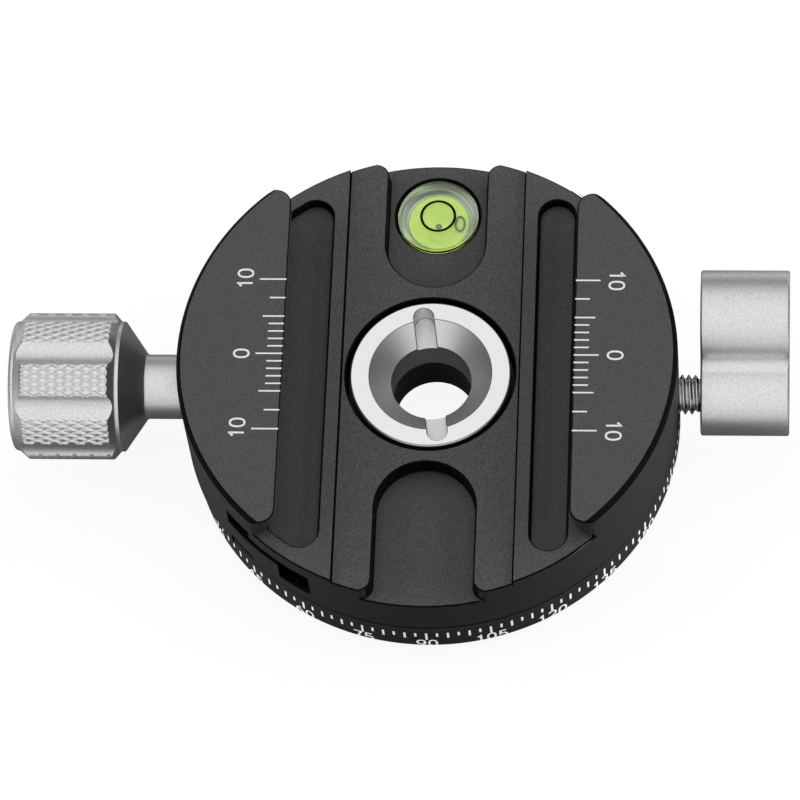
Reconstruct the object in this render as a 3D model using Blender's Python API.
"""Panning clamp for dovetail camera plates, built from the pieces of the real object.

Lengths are in metres. Z is up and zero is the surface that the base stands on. X runs along both
knob axes, with the clamp knob at -X and the lock knob at +X, and Y runs along the plate channel.
The pieces are drawn about the pan axis, and the frame empty carries that axis to its place, so
that the origin lies under the middle of the reach from knob to knob.
"""

import math

import bmesh
import bpy

MM = 0.001

# General sizes
SEAT = 0.3 * MM
OVERRUN = 2.0 * MM
ROUND_STEPS = 72
MIDDLE_STEPS = 40
SMALL_STEPS = 20
THREAD_STEPS = 12
ARC_STEPS = 9
CORNER_STEPS = 5

# Base plate with its graduated ring, foot and hub
BODY_RADIUS = 29.6 * MM
BASE_TOP = 6.1 * MM
BASE_TOP_CHAMFER = 0.2 * MM
BASE_FILLET = 2.5 * MM
FOOT_WIDTH = 10.1 * MM
FOOT_RECESS = 3.3 * MM
BORE_RADIUS = 4.8 * MM
HUB_WALL = 1.1 * MM
TWIST_SCREW_INSET = 6.5 * MM
TWIST_SCREW_RADIUS = 1.7 * MM
TWIST_SCREW_LENGTH = 3.4 * MM
TWIST_SCREW_SINK = 0.6 * MM
TWIST_SOCKET_RADIUS = 1.0 * MM
TWIST_SOCKET_DEPTH = 1.5 * MM

# Rings between base and clamp body
GLIDE_INSET = 8.6 * MM
GLIDE_WIDTH = 4.8 * MM
GLIDE_THICKNESS = 0.7 * MM
DAMPING_INSET = 4.0 * MM
DAMPING_WIRE_RADIUS = 0.5 * MM
DAMPING_STEPS = 8

# Clamp body, from the gap above the base up
BODY_GAP = 0.5 * MM
LOWER_PLATE = 2.3 * MM
SLOT_HEIGHT = 4.2 * MM
UPPER_PLATE = 2.4 * MM
RAIL_STEP = 0.5 * MM
JAW_HEIGHT = 4.5 * MM
JAW_THICKNESS = 8.7 * MM
RAIL_EDGE_SHARE = 0.62
GROOVE_WIDTH = 0.25 * MM
GROOVE_DEPTH = 0.25 * MM
SLOT_DEPTH = 7.2 * MM
CORE_WALL = 0.85 * MM
TOP_CHAMFER_WIDTH = 0.4 * MM
TOP_CHAMFER_HEIGHT = 0.5 * MM

# Jaws
JAW_WIDTH = 12.35 * MM
LIP_HEIGHT = 1.2 * MM
JAW_REACH = 2.7 * MM
JAW_CORNER_RADIUS = 1.9 * MM
JAW_OPEN = 0.4 * MM
JAW_GAP = 2.4 * MM
FINGER_LENGTH = 6.1 * MM

# Recesses and pockets in the top of the body
RECESS_HALF_WIDTH = 6.0 * MM
RECESS_DEPTH = 2.3 * MM
LEVEL_RECESS_WALL = 1.65 * MM
FRONT_RECESS_WALL = 1.55 * MM
RECESS_MOUTH_RADIUS = 1.6 * MM
POCKET_DEPTH = 1.3 * MM
POCKET_INNER_SHARE = 0.722
RIGHT_POCKET_INSET = 0.4 * MM
RIGHT_POCKET_WALL = 1.63 * MM
LEFT_POCKET_UNDERCUT = 1.3 * MM
LEFT_POCKET_WALL = 1.8 * MM
LEFT_POCKET_CORNER = 2.2 * MM

# Centre nut
NUT_RADIUS = 9.65 * MM
NUT_SINK = 0.1 * MM
NUT_GAP = 0.5 * MM
NUT_EDGE = 0.2 * MM
NUT_FLANGE = 2.9 * MM
NUT_LENGTH = 6.4 * MM
NUT_FACE_WIDTH = 2.3 * MM
NUT_FLANGE_REACH = 1.05 * MM
COUNTERSINK_DEPTH = 2.24 * MM
DRIVER_SLOT_WIDTH = 2.45 * MM
DRIVER_SLOT_INSET = 0.7 * MM
DRIVER_SLOT_DEPTH = 2.6 * MM
DRIVER_SLOT_TURN = math.radians(8)

# Bubble level
VIAL_INSET = 6.9 * MM
VIAL_RADIUS = 4.85 * MM
VIAL_HEIGHT = 5.2 * MM
VIAL_ROOF = 1.1 * MM
VIAL_WALL = 1.2 * MM
VIAL_EDGE = 0.25 * MM
PLUG_THICKNESS = 0.7 * MM

# Clamp screw, guide pins and springs
SCREW_HEIGHT = 4.5 * MM
SCREW_RADIUS = 1.95 * MM
SCREW_PITCH = 0.7 * MM
SCREW_THREAD_DEPTH = 0.38 * MM
THREAD_RELIEF = 0.2 * MM
SCREW_TIP_WALL = 0.65 * MM
SCREW_THREAD_REACH = 1.7 * MM
SCREW_END_WALL = 2.3 * MM
RING_GROOVE_DEPTH = 0.5 * MM
RING_RADIUS = 3.6 * MM
RING_THICKNESS = 0.6 * MM
PIN_PLACE = 8.0 * MM
PIN_RADIUS = 1.25 * MM
PIN_TIP_BACK = 0.4 * MM
PIN_SEAT_DEPTH = 4.0 * MM
PIN_TRAVEL_ROOM = 2.4 * MM
SPRING_POCKET_DEPTH = 3.5 * MM
SPRING_RADIUS = 1.85 * MM
SPRING_WIRE_RADIUS = 0.2 * MM
SPRING_TURNS = 5
SPRING_TURN_POINTS = 10

# Clamp knob and its washer
NECK_RADIUS = 3.88 * MM
NECK_SEAT_DEPTH = 1.7 * MM
NECK_LENGTH = 4.8 * MM
KNOB_WASHER_THICKNESS = 0.5 * MM
KNOB_CONE_LENGTH = 2.73 * MM
KNOB_DISC_LENGTH = 0.5 * MM
KNOB_DISC_RADIUS = 7.8 * MM
KNOB_INNER_CHAMFER = 0.89 * MM
KNOB_DRUM_LENGTH = 10.18 * MM
KNOB_OUTER_CHAMFER = 1.15 * MM
KNOB_END_LENGTH = 0.6 * MM
KNOB_END_ROUND = 0.45 * MM
KNOB_RADIUS = 8.8 * MM
KNOB_TURN = math.radians(22.2)
FLUTES = 8
STEPS_PER_FLUTE = 9
FLUTE_RADIUS = 2.35 * MM
FLUTE_DEPTH = 0.6 * MM
FLUTE_HALF_ANGLE = math.radians(10.25)
GRUB_RADIUS = 1.3 * MM
GRUB_SINK = 0.8 * MM

# Lock screw, brake pad and lock knob
LOCK_AXIS_HEIGHT = 3.25 * MM
LOCK_SCREW_RADIUS = 2.4 * MM
LOCK_SCREW_PITCH = 0.8 * MM
LOCK_THREAD_DEPTH = 0.45 * MM
PAD_NOSE_RADIUS = 1.4 * MM
PAD_NOSE_LENGTH = 2.2 * MM
PAD_RADIUS = 2.4 * MM
PAD_LENGTH = 4.4 * MM
LOCK_SCREW_DEPTH = 8.04 * MM
LOCK_SCREW_PLAIN = 7.5 * MM
LOCK_KNOB_GAP = 2.56 * MM
LOCK_KNOB_LENGTH = 10.58 * MM
LOCK_KNOB_EDGE = 0.3 * MM
LOCK_HUB_RADIUS = 4.9 * MM
LOCK_LOBE_RADIUS = 5.7 * MM
LOCK_LOBE_REACH = 9.27 * MM
LOCK_WAIST_RADIUS = 1.5 * MM
LOCK_LOBE_TURN = math.radians(36)
LOCK_PIN_RADIUS = 0.9 * MM
LOCK_PIN_SINK = 0.3 * MM

# Heights and places that follow from the sizes above
FOOT_INNER_RADIUS = BODY_RADIUS - FOOT_WIDTH
SCREW_CIRCLE = BODY_RADIUS - TWIST_SCREW_INSET
GLIDE_OUTER_RADIUS = BODY_RADIUS - GLIDE_INSET
GLIDE_INNER_RADIUS = GLIDE_OUTER_RADIUS - GLIDE_WIDTH
DAMPING_RADIUS = BODY_RADIUS - DAMPING_INSET
HUB_RADIUS = NUT_RADIUS - NUT_FLANGE_REACH
COUNTERSINK_RADIUS = NUT_RADIUS - NUT_FACE_WIDTH
DRIVER_SLOT_LENGTH = 2 * (NUT_RADIUS - DRIVER_SLOT_INSET)
CENTRE_RADIUS = NUT_RADIUS + NUT_GAP
CORE_HALF_WIDTH = CENTRE_RADIUS + CORE_WALL
LEVEL_RECESS_START = CENTRE_RADIUS + LEVEL_RECESS_WALL
FRONT_RECESS_START = CENTRE_RADIUS + FRONT_RECESS_WALL
VIAL_PLACE = BODY_RADIUS - VIAL_INSET
LIP = BODY_RADIUS - JAW_WIDTH
BODY_END = BODY_RADIUS - JAW_THICKNESS
RAIL_EDGE = LIP * RAIL_EDGE_SHARE
POCKET_INNER = LIP * POCKET_INNER_SHARE
RIGHT_POCKET_OUTER = LIP - RIGHT_POCKET_INSET
LEFT_POCKET_OUTER = LIP + LEFT_POCKET_UNDERCUT
LEFT_POCKET_RADIUS = BODY_RADIUS - LEFT_POCKET_WALL
BODY_BOTTOM = BASE_TOP + BODY_GAP
RING_TOP = BODY_BOTTOM - SEAT
SLOT_LOW = BODY_BOTTOM + LOWER_PLATE
SLOT_HIGH = SLOT_LOW + SLOT_HEIGHT
RAIL_Z = SLOT_HIGH + UPPER_PLATE
FLOOR_Z = RAIL_Z - RAIL_STEP
RECESS_Z = FLOOR_Z - RECESS_DEPTH
POCKET_Z = RAIL_Z - POCKET_DEPTH
JAW_TOP = RAIL_Z + JAW_HEIGHT
UNDERCUT = LIP + JAW_REACH
UNDERCUT_Z = JAW_TOP - LIP_HEIGHT - JAW_REACH
NUT_TOP = FLOOR_Z - NUT_SINK
FLANGE_Z = NUT_TOP - NUT_FLANGE
NUT_BOTTOM = NUT_TOP - NUT_LENGTH
HUB_TOP = FLANGE_Z - SEAT
SCREW_Z = BODY_BOTTOM + SCREW_HEIGHT
SCREW_HOLE = SCREW_RADIUS + SEAT
SCREW_TIP = CENTRE_RADIUS + SCREW_TIP_WALL + PIN_TRAVEL_ROOM
SCREW_THREAD_END = BODY_END + SCREW_THREAD_REACH
PIN_TIP = SCREW_TIP - PIN_TIP_BACK
LOCK_Z = BODY_BOTTOM + LOCK_AXIS_HEIGHT
LOCK_HOLE = LOCK_SCREW_RADIUS + SEAT
BLOCK_X = -BODY_END - JAW_GAP
FINGER_END_X = BLOCK_X + FINGER_LENGTH
JAW_WALL_X = -BODY_RADIUS - JAW_OPEN
NECK_SEAT_X = JAW_WALL_X + NECK_SEAT_DEPTH
KNOB_WASHER_X = NECK_SEAT_X - SEAT - KNOB_WASHER_THICKNESS
KNOB_RIGHT_X = KNOB_WASHER_X - SEAT
KNOB_CONE_X = KNOB_RIGHT_X - NECK_LENGTH
KNOB_DISC_X = KNOB_CONE_X - KNOB_CONE_LENGTH
KNOB_STEP_X = KNOB_DISC_X - KNOB_DISC_LENGTH
KNOB_DRUM_X = KNOB_STEP_X - KNOB_INNER_CHAMFER
KNOB_CHAMFER_X = KNOB_DRUM_X - KNOB_DRUM_LENGTH
KNOB_END_X = KNOB_CHAMFER_X - KNOB_OUTER_CHAMFER
KNOB_LEFT_X = KNOB_END_X - KNOB_END_LENGTH
RING_SEAT_X = BLOCK_X - SEAT - RING_THICKNESS - SEAT
LOCK_KNOB_X = BODY_RADIUS + LOCK_KNOB_GAP
LOCK_KNOB_END_X = LOCK_KNOB_X + LOCK_KNOB_LENGTH
PAD_X = HUB_RADIUS + SEAT
PAD_END_X = PAD_X + PAD_LENGTH
LOCK_SCREW_X = PAD_END_X + SEAT
PAN_X = (-KNOB_LEFT_X - LOCK_KNOB_END_X) / 2


def clear_scene():
    for thing in list(bpy.data.objects):
        bpy.data.objects.remove(thing, do_unlink=True)


def material(name, colour, metallic, roughness):
    finish = bpy.data.materials.new(name)
    finish.use_nodes = True
    shader = finish.node_tree.nodes["Principled BSDF"]
    shader.inputs["Base Color"].default_value = (*colour, 1)
    shader.inputs["Metallic"].default_value = metallic
    shader.inputs["Roughness"].default_value = roughness
    finish.diffuse_color = (*colour, 1)
    return finish


def empty(name, place, parent=None):
    holder = bpy.data.objects.new(name, None)
    bpy.context.collection.objects.link(holder)
    holder.location = place
    holder.parent = parent
    return holder


def add_object(name, shape, parent, place=(0, 0, 0), finish=None):
    """Put a bmesh in the scene as one object, with its origin at a place under its parent."""
    bmesh.ops.recalc_face_normals(shape, faces=shape.faces)
    mesh = bpy.data.meshes.new(name)
    shape.to_mesh(mesh)
    shape.free()
    piece = bpy.data.objects.new(name, mesh)
    bpy.context.collection.objects.link(piece)
    piece.location = place
    piece.parent = parent
    if finish:
        mesh.materials.append(finish)
        mesh.shade_smooth()
        mesh.set_sharp_from_angle(angle=math.radians(30))
    return piece


def join_rings(shape, row, after):
    """Join two rings of the same number of vertices with a band of faces."""
    for i in range(len(row)):
        j = (i + 1) % len(row)
        shape.faces.new([row[i], row[j], after[j], after[i]])


def skin(rings, hollow=False):
    """A solid through rings of points, closed by its two end faces or, if hollow, back on itself."""
    shape = bmesh.new()
    rows = [[shape.verts.new(point) for point in ring] for ring in rings]
    for row, after in zip(rows, rows[1:]):
        join_rings(shape, row, after)
    if hollow:
        join_rings(shape, rows[-1], rows[0])
    else:
        shape.faces.new(rows[0])
        shape.faces.new(rows[-1])
    return shape


def turned(profile, axis="z", steps=ROUND_STEPS, hollow=False, middle=(0, 0), limit=None):
    """A turned solid along X or Z, from a profile of (distance along the axis, radius)."""
    rings = []
    for distance, radius in profile:
        ring = []
        for i in range(steps):
            angle = math.tau * i / steps
            reach = min(radius, limit(angle)) if limit else radius
            first = middle[0] + reach * math.cos(angle)
            second = middle[1] + reach * math.sin(angle)
            ring.append((distance, first, second) if axis == "x" else (first, second, distance))
        rings.append(ring)
    return skin(rings, hollow)


def rod(low, high, radius, edge=0):
    """The profile of a plain rod, with chamfered ends where an edge is given."""
    if edge == 0:
        return [(low, radius), (high, radius)]
    return [(low, radius - edge), (low + edge, radius), (high - edge, radius), (high, radius - edge)]


def tube(low, high, inner, outer):
    """The profile of a plain ring, for a hollow turned solid."""
    return [(low, inner), (low, outer), (high, outer), (high, inner)]


def prism(outline, axis, low, high):
    """Extrude an outline along an axis: (x, y) along Z, (x, z) along Y or (y, z) along X."""
    place = {
        "x": lambda u, v, w: (w, u, v),
        "y": lambda u, v, w: (u, w, v),
        "z": lambda u, v, w: (u, v, w),
    }[axis]
    return skin([[place(u, v, w) for u, v in outline] for w in (low, high)])


def box(x_range, y_range, z_range):
    (x0, x1), (y0, y1) = x_range, y_range
    return prism([(x0, y0), (x1, y0), (x1, y1), (x0, y1)], "z", *z_range)


def arc(middle, radius, start, end, steps):
    """Points on an arc, both ends included, with the angles in radians."""
    return [
        (
            middle[0] + radius * math.cos(start + (end - start) * i / steps),
            middle[1] + radius * math.sin(start + (end - start) * i / steps),
        )
        for i in range(steps + 1)
    ]


def cut(piece, name, shape, parent, place=(0, 0, 0)):
    """Cut a shape out of a piece with a hidden cutter."""
    cutter = add_object(name, shape, parent, place)
    cutter.hide_render = True
    cutter.display_type = "WIRE"
    boolean = piece.modifiers.new(name, "BOOLEAN")
    boolean.operation = "DIFFERENCE"
    boolean.solver = "EXACT"
    boolean.object = cutter


def mirrored(outline):
    """The same outline on the other side of the X axis."""
    return [(x, -y) for x, y in reversed(outline)]


def threaded_rod(low, high, thread_low, thread_high, radius, depth, pitch):
    """A screw along X: a helical vee thread between two places, and plain where it goes further."""
    shape = bmesh.new()
    root = radius - depth
    length = thread_high - thread_low
    turns = int((length - 2 * THREAD_RELIEF) / pitch) - 1
    start = thread_low + (length - (turns + 1) * pitch) / 2
    lead = pitch / THREAD_STEPS
    last = turns * THREAD_STEPS

    def vertex(distance, reach, step):
        angle = math.tau * step / THREAD_STEPS
        return shape.verts.new((distance, reach * math.cos(angle), reach * math.sin(angle)))

    def ring(distance, reach):
        return [vertex(distance, reach, step) for step in range(THREAD_STEPS)]

    def close(end_ring, thread_end, end):
        """Carry the rod on to its end, plain and chamfered, or close it where the thread ends."""
        if end != thread_end:
            inward = math.copysign(THREAD_RELIEF, thread_end - end)
            for place, reach in (
                (thread_end - inward, radius),
                (end + inward, radius),
                (end, radius - THREAD_RELIEF),
            ):
                after = ring(place, reach)
                join_rings(shape, end_ring, after)
                end_ring = after
        shape.faces.new(end_ring)

    roots = [vertex(start + lead * i, root, i) for i in range(last + THREAD_STEPS + 1)]
    crests = [vertex(start + pitch / 2 + lead * i, radius, i) for i in range(last + 1)]
    for i in range(last):
        after = i + THREAD_STEPS
        shape.faces.new([roots[i], roots[i + 1], crests[i + 1], crests[i]])
        shape.faces.new([crests[i], crests[i + 1], roots[after + 1], roots[after]])
    near = ring(thread_low, root - THREAD_RELIEF)
    far = ring(thread_high, root - THREAD_RELIEF)
    for i in range(THREAD_STEPS):
        j = (i + 1) % THREAD_STEPS
        shape.faces.new([near[i], near[j], roots[i + 1], roots[i]])
        shape.faces.new([roots[last + i], roots[last + i + 1], far[j], far[i]])
    shape.faces.new([near[0], roots[0], crests[0], roots[THREAD_STEPS]])
    shape.faces.new([crests[last], roots[last + THREAD_STEPS], far[0], roots[last]])
    close(near, thread_low, low)
    close(far, thread_high, high)
    return shape


def make_base(parent, finishes):
    fillet = [
        (BASE_FILLET - BASE_FILLET * math.sin(t), BODY_RADIUS - BASE_FILLET + BASE_FILLET * math.cos(t))
        for t in (math.pi / 2 * i / CORNER_STEPS for i in range(CORNER_STEPS + 1))
    ]
    damping_in = DAMPING_RADIUS - DAMPING_WIRE_RADIUS - SEAT
    damping_out = DAMPING_RADIUS + DAMPING_WIRE_RADIUS + SEAT
    damping_floor = RING_TOP - 2 * DAMPING_WIRE_RADIUS - SEAT
    glide_floor = RING_TOP - GLIDE_THICKNESS - SEAT
    hub_step = NUT_BOTTOM - SEAT
    profile = fillet + [
        (0, FOOT_INNER_RADIUS),
        (FOOT_RECESS, FOOT_INNER_RADIUS),
        (FOOT_RECESS, BORE_RADIUS),
        (hub_step, BORE_RADIUS),
        (hub_step, HUB_RADIUS - HUB_WALL),
        (HUB_TOP, HUB_RADIUS - HUB_WALL),
        (HUB_TOP, HUB_RADIUS),
        (BASE_TOP, HUB_RADIUS),
        (BASE_TOP, GLIDE_INNER_RADIUS - SEAT),
        (glide_floor, GLIDE_INNER_RADIUS - SEAT),
        (glide_floor, GLIDE_OUTER_RADIUS + SEAT),
        (BASE_TOP, GLIDE_OUTER_RADIUS + SEAT),
        (BASE_TOP, damping_in),
        (damping_floor, damping_in),
        (damping_floor, damping_out),
        (BASE_TOP, damping_out),
        (BASE_TOP, BODY_RADIUS - BASE_TOP_CHAMFER),
        (BASE_TOP - BASE_TOP_CHAMFER, BODY_RADIUS),
    ]
    base = add_object("base_plate", turned(profile, hollow=True), parent, finish=finishes["black"])

    for name, side in (("front", -1), ("back", 1)):
        middle = (0, side * SCREW_CIRCLE)
        low = TWIST_SCREW_SINK
        high = low + TWIST_SCREW_LENGTH
        hole = rod(-OVERRUN, high + SEAT, TWIST_SCREW_RADIUS + SEAT)
        cut(base, f"anti_twist_hole_{name}", turned(hole, steps=SMALL_STEPS, middle=middle), parent)
        grub = turned(rod(low, high, TWIST_SCREW_RADIUS), steps=SMALL_STEPS, middle=middle)
        grub = add_object(f"anti_twist_screw_{name}", grub, parent, finish=finishes["steel"])
        socket = turned(rod(0, low + TWIST_SOCKET_DEPTH, TWIST_SOCKET_RADIUS), steps=6, middle=middle)
        cut(grub, f"anti_twist_socket_{name}", socket, parent)

    glide = tube(RING_TOP - GLIDE_THICKNESS, RING_TOP, GLIDE_INNER_RADIUS, GLIDE_OUTER_RADIUS)
    washer = turned(glide, steps=MIDDLE_STEPS, hollow=True)
    add_object("glide_washer", washer, parent, finish=finishes["white"])

    ring_z = RING_TOP - DAMPING_WIRE_RADIUS
    section = [
        (
            ring_z + DAMPING_WIRE_RADIUS * math.sin(math.tau * i / DAMPING_STEPS),
            DAMPING_RADIUS + DAMPING_WIRE_RADIUS * math.cos(math.tau * i / DAMPING_STEPS),
        )
        for i in range(DAMPING_STEPS)
    ]
    ring = turned(section, steps=MIDDLE_STEPS, hollow=True)
    add_object("damping_ring", ring, parent, finish=finishes["rubber"])


def make_centre_nut(parent, finishes):
    profile = [
        (NUT_BOTTOM, BORE_RADIUS),
        (NUT_BOTTOM, HUB_RADIUS - HUB_WALL - SEAT),
        (FLANGE_Z, HUB_RADIUS - HUB_WALL - SEAT),
        (FLANGE_Z, NUT_RADIUS),
        (NUT_TOP - NUT_EDGE, NUT_RADIUS),
        (NUT_TOP, NUT_RADIUS - NUT_EDGE),
        (NUT_TOP, COUNTERSINK_RADIUS),
        (NUT_TOP - COUNTERSINK_DEPTH, BORE_RADIUS),
    ]
    nut = turned(profile, steps=MIDDLE_STEPS, hollow=True)
    nut = add_object("centre_nut", nut, parent, finish=finishes["bright"])
    half_width = DRIVER_SLOT_WIDTH / 2
    straight = DRIVER_SLOT_LENGTH / 2 - half_width
    outline = arc((0, straight), half_width, 0, math.pi, CORNER_STEPS)
    outline += arc((0, -straight), half_width, math.pi, math.tau, CORNER_STEPS)
    turn_cos, turn_sin = math.cos(DRIVER_SLOT_TURN), math.sin(DRIVER_SLOT_TURN)
    outline = [(x * turn_cos - y * turn_sin, x * turn_sin + y * turn_cos) for x, y in outline]
    cut(nut, "driver_slot", prism(outline, "z", NUT_TOP - DRIVER_SLOT_DEPTH, NUT_TOP + OVERRUN), parent)


def body_profile():
    """The round blank of the clamp body and the moving jaw, with its chamfered top edge."""
    return [
        (BODY_BOTTOM, BODY_RADIUS),
        (JAW_TOP - TOP_CHAMFER_HEIGHT, BODY_RADIUS),
        (JAW_TOP, BODY_RADIUS - TOP_CHAMFER_WIDTH),
    ]


def jaw_corner(lip):
    """The waste outside a jaw's rounded corner, for the corner at +X and -Y."""
    across = lip + JAW_CORNER_RADIUS
    down = -math.sqrt((BODY_RADIUS - JAW_CORNER_RADIUS) ** 2 - across**2)
    rim_angle = math.atan2(down, across)
    waste = arc((across, down), JAW_CORNER_RADIUS, -math.pi, rim_angle, ARC_STEPS)
    rim_end = waste[-1]
    waste.append((rim_end[0] + OVERRUN, rim_end[1] - OVERRUN))
    waste.append((lip - OVERRUN, -BODY_RADIUS))
    waste.append((lip - OVERRUN, waste[0][1]))
    return waste


def recess_outline(start, toward):
    """A recess with a round inner end that opens at the rim, with its mouth corners eased."""
    side = RECESS_HALF_WIDTH
    turn = RECESS_MOUTH_RADIUS
    mouth = math.sqrt(BODY_RADIUS**2 - (side + turn) ** 2)
    outline = arc((0, start + side), side, -math.pi, 0, 2 * ARC_STEPS)
    outline += arc((side + turn, mouth - turn), turn, math.pi, math.pi / 2, CORNER_STEPS)
    outline += [(side + turn, BODY_RADIUS + OVERRUN), (-side - turn, BODY_RADIUS + OVERRUN)]
    outline += arc((-side - turn, mouth - turn), turn, math.pi / 2, 0, CORNER_STEPS)
    return outline if toward > 0 else mirrored(outline)


def left_pocket_outline():
    """The pocket beside the moving jaw: straight sides, and ends that follow the rim."""
    inner = POCKET_INNER
    outer = LEFT_POCKET_OUTER
    corner = LEFT_POCKET_CORNER
    across = inner + corner
    up = math.sqrt((LEFT_POCKET_RADIUS - corner) ** 2 - across**2)
    rim_angle = math.atan2(up, across)
    outer_angle = math.acos(outer / LEFT_POCKET_RADIUS)
    half = arc((across, up), corner, math.pi, rim_angle, CORNER_STEPS)
    half += arc((0, 0), LEFT_POCKET_RADIUS, rim_angle, outer_angle, CORNER_STEPS)[1:]
    left = [(-x, y) for x, y in half]
    return left + [(x, -y) for x, y in reversed(left)]


def make_body(parent, finishes):
    body = add_object("clamp_body", turned(body_profile()), parent, finish=finishes["black"])
    reach = BODY_RADIUS + OVERRUN
    over = JAW_TOP + OVERRUN
    under = BODY_BOTTOM - OVERRUN
    cut(body, "end_cut", box((-reach, -BODY_END), (-reach, reach), (under, over)), parent)

    groove_edge = RAIL_EDGE - GROOVE_WIDTH
    groove_z = FLOOR_Z - GROOVE_DEPTH
    channel = [
        (-reach, over),
        (-reach, RAIL_Z),
        (-RAIL_EDGE, RAIL_Z),
        (-RAIL_EDGE, groove_z),
        (-groove_edge, groove_z),
        (-groove_edge, FLOOR_Z),
        (groove_edge, FLOOR_Z),
        (groove_edge, groove_z),
        (RAIL_EDGE, groove_z),
        (RAIL_EDGE, RAIL_Z),
        (UNDERCUT, RAIL_Z),
        (UNDERCUT, UNDERCUT_Z),
        (LIP, JAW_TOP - LIP_HEIGHT),
        (LIP, over),
    ]
    cut(body, "plate_channel", prism(channel, "y", -reach, reach), parent)
    corner = jaw_corner(LIP)
    cut(body, "front_jaw_corner", prism(corner, "z", RAIL_Z, over), parent)
    cut(body, "back_jaw_corner", prism(mirrored(corner), "z", RAIL_Z, over), parent)

    slot_x = (-reach, -BODY_END + SLOT_DEPTH)
    cut(body, "front_slot", box(slot_x, (-reach, -CORE_HALF_WIDTH), (SLOT_LOW, SLOT_HIGH)), parent)
    cut(body, "back_slot", box(slot_x, (CORE_HALF_WIDTH, reach), (SLOT_LOW, SLOT_HIGH)), parent)

    level_recess = recess_outline(LEVEL_RECESS_START, 1)
    cut(body, "level_recess", prism(level_recess, "z", RECESS_Z, over), parent)
    front_recess = recess_outline(FRONT_RECESS_START, -1)
    cut(body, "front_recess", prism(front_recess, "z", RECESS_Z, over), parent)
    cut(body, "left_pocket", prism(left_pocket_outline(), "z", POCKET_Z, over), parent)
    round_end = (RIGHT_POCKET_OUTER - POCKET_INNER) / 2
    pocket_x = POCKET_INNER + round_end
    pocket_y = math.sqrt((BODY_RADIUS - RIGHT_POCKET_WALL - round_end) ** 2 - pocket_x**2)
    pocket = arc((pocket_x, pocket_y), round_end, 0, math.pi, ARC_STEPS)
    pocket += arc((pocket_x, -pocket_y), round_end, math.pi, math.tau, ARC_STEPS)
    cut(body, "right_pocket", prism(pocket, "z", POCKET_Z, JAW_TOP - LIP_HEIGHT - JAW_REACH), parent)

    bore = [
        (under, HUB_RADIUS + SEAT),
        (HUB_TOP, HUB_RADIUS + SEAT),
        (HUB_TOP, CENTRE_RADIUS),
        (over, CENTRE_RADIUS),
    ]
    cut(body, "centre_bore", turned(bore, steps=MIDDLE_STEPS), parent)
    vial_hole = rod(RECESS_Z - VIAL_HEIGHT - SEAT, over, VIAL_RADIUS + SEAT)
    vial_hole = turned(vial_hole, steps=MIDDLE_STEPS, middle=(0, VIAL_PLACE))
    cut(body, "vial_hole", vial_hole, parent)

    screw_axis = (0, 0, SCREW_Z)
    tip_room = -SCREW_TIP + PIN_TRAVEL_ROOM
    screw_hole = turned(rod(-reach, tip_room, SCREW_HOLE), "x", SMALL_STEPS)
    cut(body, "clamp_screw_hole", screw_hole, parent, screw_axis)
    spring_hole = SPRING_RADIUS + SPRING_WIRE_RADIUS + SEAT
    pocket_end = -BODY_END + SPRING_POCKET_DEPTH
    guide = [
        (-reach, spring_hole),
        (pocket_end, spring_hole),
        (pocket_end, PIN_RADIUS + SEAT),
        (-PIN_TIP + PIN_TRAVEL_ROOM, PIN_RADIUS + SEAT),
    ]
    for name, side in (("front", -1), ("back", 1)):
        hole = turned(guide, "x", SMALL_STEPS, middle=(side * PIN_PLACE, 0))
        cut(body, f"guide_hole_{name}", hole, parent, screw_axis)

    nose_end = PAD_X + PAD_NOSE_LENGTH - SEAT
    lock_hole = [
        (0, PAD_NOSE_RADIUS + SEAT),
        (nose_end, PAD_NOSE_RADIUS + SEAT),
        (nose_end, LOCK_HOLE),
        (reach, LOCK_HOLE),
    ]
    cut(body, "lock_hole", turned(lock_hole, "x", SMALL_STEPS), parent, (0, 0, LOCK_Z))


def make_level(parent, finishes):
    middle = (0, VIAL_PLACE)
    low = RECESS_Z - VIAL_HEIGHT
    inner = VIAL_RADIUS - VIAL_WALL
    roof = RECESS_Z - VIAL_ROOF
    vial = [
        (roof, inner),
        (low, inner),
        (low, VIAL_RADIUS),
        (RECESS_Z - VIAL_EDGE, VIAL_RADIUS),
        (RECESS_Z, VIAL_RADIUS - VIAL_EDGE),
    ]
    plug = rod(low, low + PLUG_THICKNESS, inner - SEAT)
    fluid = rod(low + PLUG_THICKNESS + SEAT, roof - SEAT, inner - SEAT)
    for name, profile, finish in (
        ("level_vial", vial, "clear"),
        ("level_plug", plug, "white"),
        ("level_fluid", fluid, "fluid"),
    ):
        shape = turned(profile, steps=MIDDLE_STEPS, middle=middle)
        add_object(name, shape, parent, finish=finishes[finish])


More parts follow.
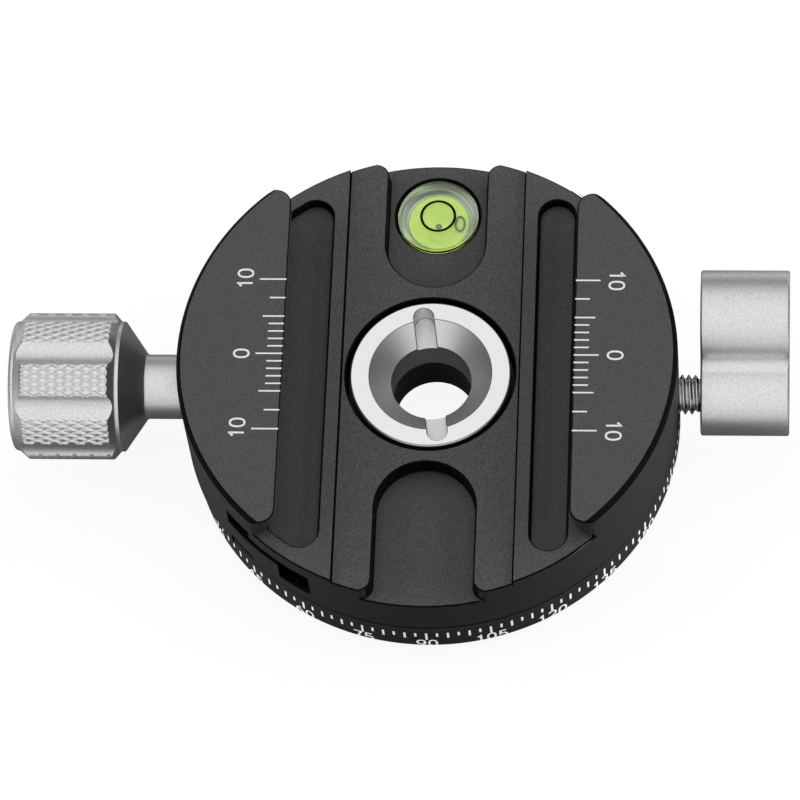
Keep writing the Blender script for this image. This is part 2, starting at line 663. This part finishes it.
def make_jaw(parent, finishes):
    middle = (-JAW_OPEN, 0)
    jaw = add_object("moving_jaw", turned(body_profile(), middle=middle), parent, finish=finishes["black"])
    reach = BODY_RADIUS + OVERRUN
    over = JAW_TOP + OVERRUN
    under = BODY_BOTTOM - OVERRUN
    leg_z = RAIL_Z + SEAT
    finger_low = SLOT_LOW + SEAT
    finger_high = SLOT_HIGH - SEAT
    waste = [
        (reach, over),
        (-LIP, over),
        (-LIP, JAW_TOP - LIP_HEIGHT),
        (-UNDERCUT, UNDERCUT_Z),
        (-UNDERCUT, leg_z),
        (BLOCK_X, leg_z),
        (BLOCK_X, finger_high),
        (FINGER_END_X, finger_high),
        (FINGER_END_X, finger_low),
        (BLOCK_X, finger_low),
        (BLOCK_X, under),
        (reach, under),
    ]
    cut(jaw, "jaw_section", prism(waste, "y", -reach, reach), parent)
    finger_side = CORE_HALF_WIDTH + SEAT
    between = box((BLOCK_X, FINGER_END_X + OVERRUN), (-finger_side, finger_side), (SLOT_LOW, SLOT_HIGH))
    cut(jaw, "finger_gap", between, parent)
    corner = [(-x - JAW_OPEN, y) for x, y in jaw_corner(LIP - JAW_OPEN)]
    cut(jaw, "front_jaw_round", prism(corner, "z", RAIL_Z, over), parent)
    cut(jaw, "back_jaw_round", prism(mirrored(corner), "z", RAIL_Z, over), parent)

    hole = [
        (-reach, NECK_RADIUS + SEAT),
        (NECK_SEAT_X, NECK_RADIUS + SEAT),
        (NECK_SEAT_X, SCREW_HOLE),
        (RING_SEAT_X, SCREW_HOLE),
        (RING_SEAT_X, RING_RADIUS + SEAT),
        (BLOCK_X + SEAT, RING_RADIUS + SEAT),
    ]
    cut(jaw, "jaw_screw_hole", turned(hole, "x", SMALL_STEPS), parent, (0, 0, SCREW_Z))
    pin_seat = BLOCK_X - PIN_SEAT_DEPTH
    for name, side in (("front", -1), ("back", 1)):
        place = (0, side * PIN_PLACE, SCREW_Z)
        hole = turned(rod(pin_seat, BLOCK_X + SEAT, PIN_RADIUS + SEAT), "x", SMALL_STEPS)
        cut(jaw, f"pin_hole_{name}", hole, parent, place)
        pin = turned(rod(pin_seat + SEAT, -PIN_TIP, PIN_RADIUS, SEAT), "x", SMALL_STEPS)
        add_object(f"guide_pin_{name}", pin, parent, place, finishes["steel"])
        make_spring(f"jaw_spring_{name}", parent, place, finishes["steel"])

    washer = tube(KNOB_WASHER_X, KNOB_WASHER_X + KNOB_WASHER_THICKNESS, SCREW_HOLE, NECK_RADIUS)
    washer = turned(washer, "x", SMALL_STEPS, hollow=True)
    add_object("knob_washer", washer, parent, (0, 0, SCREW_Z), finishes["brass"])


def make_spring(name, parent, place, finish):
    """A coil spring round a guide pin, between the jaw's block and its pocket in the body."""
    low = BLOCK_X + SEAT + SPRING_WIRE_RADIUS
    high = -BODY_END + SPRING_POCKET_DEPTH - SEAT - SPRING_WIRE_RADIUS
    count = SPRING_TURNS * SPRING_TURN_POINTS
    curve = bpy.data.curves.new(name, "CURVE")
    curve.dimensions = "3D"
    curve.bevel_depth = SPRING_WIRE_RADIUS
    curve.bevel_resolution = 1
    curve.use_fill_caps = True
    path = curve.splines.new("POLY")
    path.points.add(count)
    for i, point in enumerate(path.points):
        angle = math.tau * i / SPRING_TURN_POINTS
        x = low + (high - low) * i / count
        point.co = (x, SPRING_RADIUS * math.cos(angle), SPRING_RADIUS * math.sin(angle), 1)
    curve.materials.append(finish)
    spring = bpy.data.objects.new(name, curve)
    bpy.context.collection.objects.link(spring)
    spring.location = place
    spring.parent = parent


def flute_limit(angle):
    """How far the clamp knob's drum reaches at an angle, with its eight flutes."""
    pitch = math.tau / FLUTES
    offset = abs((angle - KNOB_TURN) % pitch - pitch / 2)
    middle = KNOB_RADIUS * math.cos(FLUTE_HALF_ANGLE) - FLUTE_DEPTH + FLUTE_RADIUS
    side = middle * math.sin(offset)
    if side >= FLUTE_RADIUS:
        return KNOB_RADIUS
    return min(KNOB_RADIUS, middle * math.cos(offset) - math.sqrt(FLUTE_RADIUS**2 - side**2))


def make_clamp_knob(parent, finishes):
    place = (0, 0, SCREW_Z)
    bore_end = KNOB_LEFT_X + SCREW_END_WALL
    end_round = [
        (
            KNOB_LEFT_X + KNOB_END_ROUND * (1 - math.sin(t)),
            KNOB_DISC_RADIUS - KNOB_END_ROUND * (1 - math.cos(t)),
        )
        for t in (math.pi / 2 * (1 - i / CORNER_STEPS) for i in range(CORNER_STEPS + 1))
    ]
    profile = end_round + [
        (KNOB_END_X, KNOB_DISC_RADIUS),
        (KNOB_CHAMFER_X, KNOB_RADIUS),
        (KNOB_DRUM_X, KNOB_RADIUS),
        (KNOB_STEP_X, KNOB_DISC_RADIUS),
        (KNOB_DISC_X, KNOB_DISC_RADIUS),
        (KNOB_CONE_X, NECK_RADIUS),
        (KNOB_RIGHT_X, NECK_RADIUS),
        (KNOB_RIGHT_X, SCREW_HOLE),
        (bore_end, SCREW_HOLE),
    ]
    knob = turned(profile, "x", FLUTES * STEPS_PER_FLUTE, limit=flute_limit)
    knob = add_object("clamp_knob", knob, parent, place, finishes["satin"])
    grub_x = (KNOB_CHAMFER_X + KNOB_DRUM_X) / 2
    grub_low = -KNOB_RADIUS + FLUTE_DEPTH + GRUB_SINK
    grub_high = -SCREW_RADIUS - SEAT
    hole = rod(-KNOB_RADIUS - OVERRUN, -SCREW_RADIUS, GRUB_RADIUS + SEAT)
    cut(knob, "grub_hole", turned(hole, steps=SMALL_STEPS, middle=(grub_x, 0)), parent, place)
    grub = turned(rod(grub_low, grub_high, GRUB_RADIUS), steps=SMALL_STEPS, middle=(grub_x, 0))
    add_object("knob_grub_screw", grub, parent, place, finishes["steel"])

    screw = threaded_rod(
        bore_end + SEAT,
        -SCREW_TIP,
        -SCREW_THREAD_END,
        -SCREW_TIP,
        SCREW_RADIUS,
        SCREW_THREAD_DEPTH,
        SCREW_PITCH,
    )
    screw = add_object("clamp_screw", screw, parent, place, finishes["steel"])
    ring_x = RING_SEAT_X + SEAT
    ring_end = ring_x + RING_THICKNESS
    groove_radius = SCREW_RADIUS - RING_GROOVE_DEPTH
    groove = tube(ring_x - SEAT, ring_end + SEAT, groove_radius, SCREW_HOLE)
    cut(screw, "ring_groove", turned(groove, "x", SMALL_STEPS, hollow=True), parent, place)
    ring = tube(ring_x, ring_end, groove_radius + SEAT, RING_RADIUS)
    ring = turned(ring, "x", SMALL_STEPS, hollow=True)
    add_object("screw_retaining_ring", ring, parent, place, finishes["steel"])


def lobed_outline(shrink=0):
    """The lock knob seen along its axis: a hub, a larger lobe and two narrow waists, as (y, z)."""
    hub = LOCK_HUB_RADIUS - shrink
    lobe = LOCK_LOBE_RADIUS - shrink
    waist = LOCK_WAIST_RADIUS + shrink
    reach = LOCK_LOBE_REACH
    hub_side = hub + waist
    lobe_side = lobe + waist
    along_axis = (hub_side**2 - lobe_side**2 + reach**2) / (2 * reach)
    beside = math.sqrt(hub_side**2 - along_axis**2)
    hub_angle = math.atan2(beside, along_axis)
    lobe_angle = math.atan2(beside, along_axis - reach)
    outline = arc((0, 0), hub, hub_angle, math.tau - hub_angle, 2 * ARC_STEPS)
    outline += arc((along_axis, -beside), waist, math.pi - hub_angle, math.pi - lobe_angle, CORNER_STEPS)[1:-1]
    outline += arc((reach, 0), lobe, -lobe_angle, lobe_angle, 2 * ARC_STEPS)
    outline += arc((along_axis, beside), waist, lobe_angle + math.pi, hub_angle + math.pi, CORNER_STEPS)[1:-1]
    turn_cos, turn_sin = math.cos(LOCK_LOBE_TURN), math.sin(LOCK_LOBE_TURN)
    return [(y * turn_cos - z * turn_sin, y * turn_sin + z * turn_cos) for y, z in outline]


def make_lock(parent, finishes):
    place = (0, 0, LOCK_Z)
    pad = [
        (PAD_X, PAD_NOSE_RADIUS),
        (PAD_X + PAD_NOSE_LENGTH, PAD_NOSE_RADIUS),
        (PAD_X + PAD_NOSE_LENGTH, PAD_RADIUS),
        (PAD_END_X, PAD_RADIUS),
    ]
    add_object("brake_pad", turned(pad, "x", SMALL_STEPS), parent, place, finishes["brass"])

    screw_end = LOCK_KNOB_X + LOCK_SCREW_DEPTH
    thread_end = screw_end - LOCK_SCREW_PLAIN
    screw = threaded_rod(
        LOCK_SCREW_X,
        screw_end,
        LOCK_SCREW_X,
        thread_end,
        LOCK_SCREW_RADIUS,
        LOCK_THREAD_DEPTH,
        LOCK_SCREW_PITCH,
    )
    add_object("lock_screw", screw, parent, place, finishes["steel"])

    edge = LOCK_KNOB_EDGE
    stations = (
        (LOCK_KNOB_X, edge),
        (LOCK_KNOB_X + edge, 0),
        (LOCK_KNOB_END_X - edge, 0),
        (LOCK_KNOB_END_X, edge),
    )
    rings = [[(x, y, z) for y, z in lobed_outline(shrink)] for x, shrink in stations]
    knob = add_object("lock_knob", skin(rings), parent, place, finishes["satin"])
    bore = turned(rod(0, screw_end + SEAT, LOCK_HOLE), "x", SMALL_STEPS)
    cut(knob, "lock_knob_bore", bore, parent, place)
    pin_x = (thread_end + screw_end) / 2
    pin_high = -LOCK_SCREW_RADIUS - SEAT
    pin_low = -LOCK_HUB_RADIUS + LOCK_PIN_SINK
    hole = rod(-LOCK_HUB_RADIUS - OVERRUN, -LOCK_SCREW_RADIUS, LOCK_PIN_RADIUS + SEAT)
    cut(knob, "lock_pin_hole", turned(hole, steps=SMALL_STEPS, middle=(pin_x, 0)), parent, place)
    pin = turned(rod(pin_low, pin_high, LOCK_PIN_RADIUS), steps=SMALL_STEPS, middle=(pin_x, 0))
    add_object("lock_knob_pin", pin, parent, place, finishes["steel"])


def make_finishes():
    return {
        "black": material("black_anodised", (0.10, 0.10, 0.105), 0.6, 0.45),
        "satin": material("satin_silver", (0.72, 0.72, 0.72), 1.0, 0.35),
        "bright": material("bright_steel", (0.85, 0.85, 0.86), 1.0, 0.15),
        "steel": material("plain_steel", (0.55, 0.55, 0.56), 1.0, 0.35),
        "brass": material("brass", (0.70, 0.52, 0.22), 1.0, 0.35),
        "white": material("white_plastic", (0.85, 0.85, 0.83), 0.0, 0.4),
        "rubber": material("black_rubber", (0.03, 0.03, 0.03), 0.0, 0.7),
        "clear": material("clear_acrylic", (0.90, 0.95, 0.88), 0.0, 0.05),
        "fluid": material("level_fluid", (0.60, 0.90, 0.12), 0.0, 0.1),
    }


def main():
    clear_scene()
    finishes = make_finishes()
    frame = empty("frame", (PAN_X, 0, 0))
    pan_axis = empty("pan_axis", (0, 0, 0), frame)
    jaw_slide = empty("jaw_slide", (0, 0, 0), pan_axis)
    make_base(frame, finishes)
    make_centre_nut(frame, finishes)
    make_body(pan_axis, finishes)
    make_level(pan_axis, finishes)
    make_jaw(jaw_slide, finishes)
    make_clamp_knob(jaw_slide, finishes)
    make_lock(pan_axis, finishes)


main()
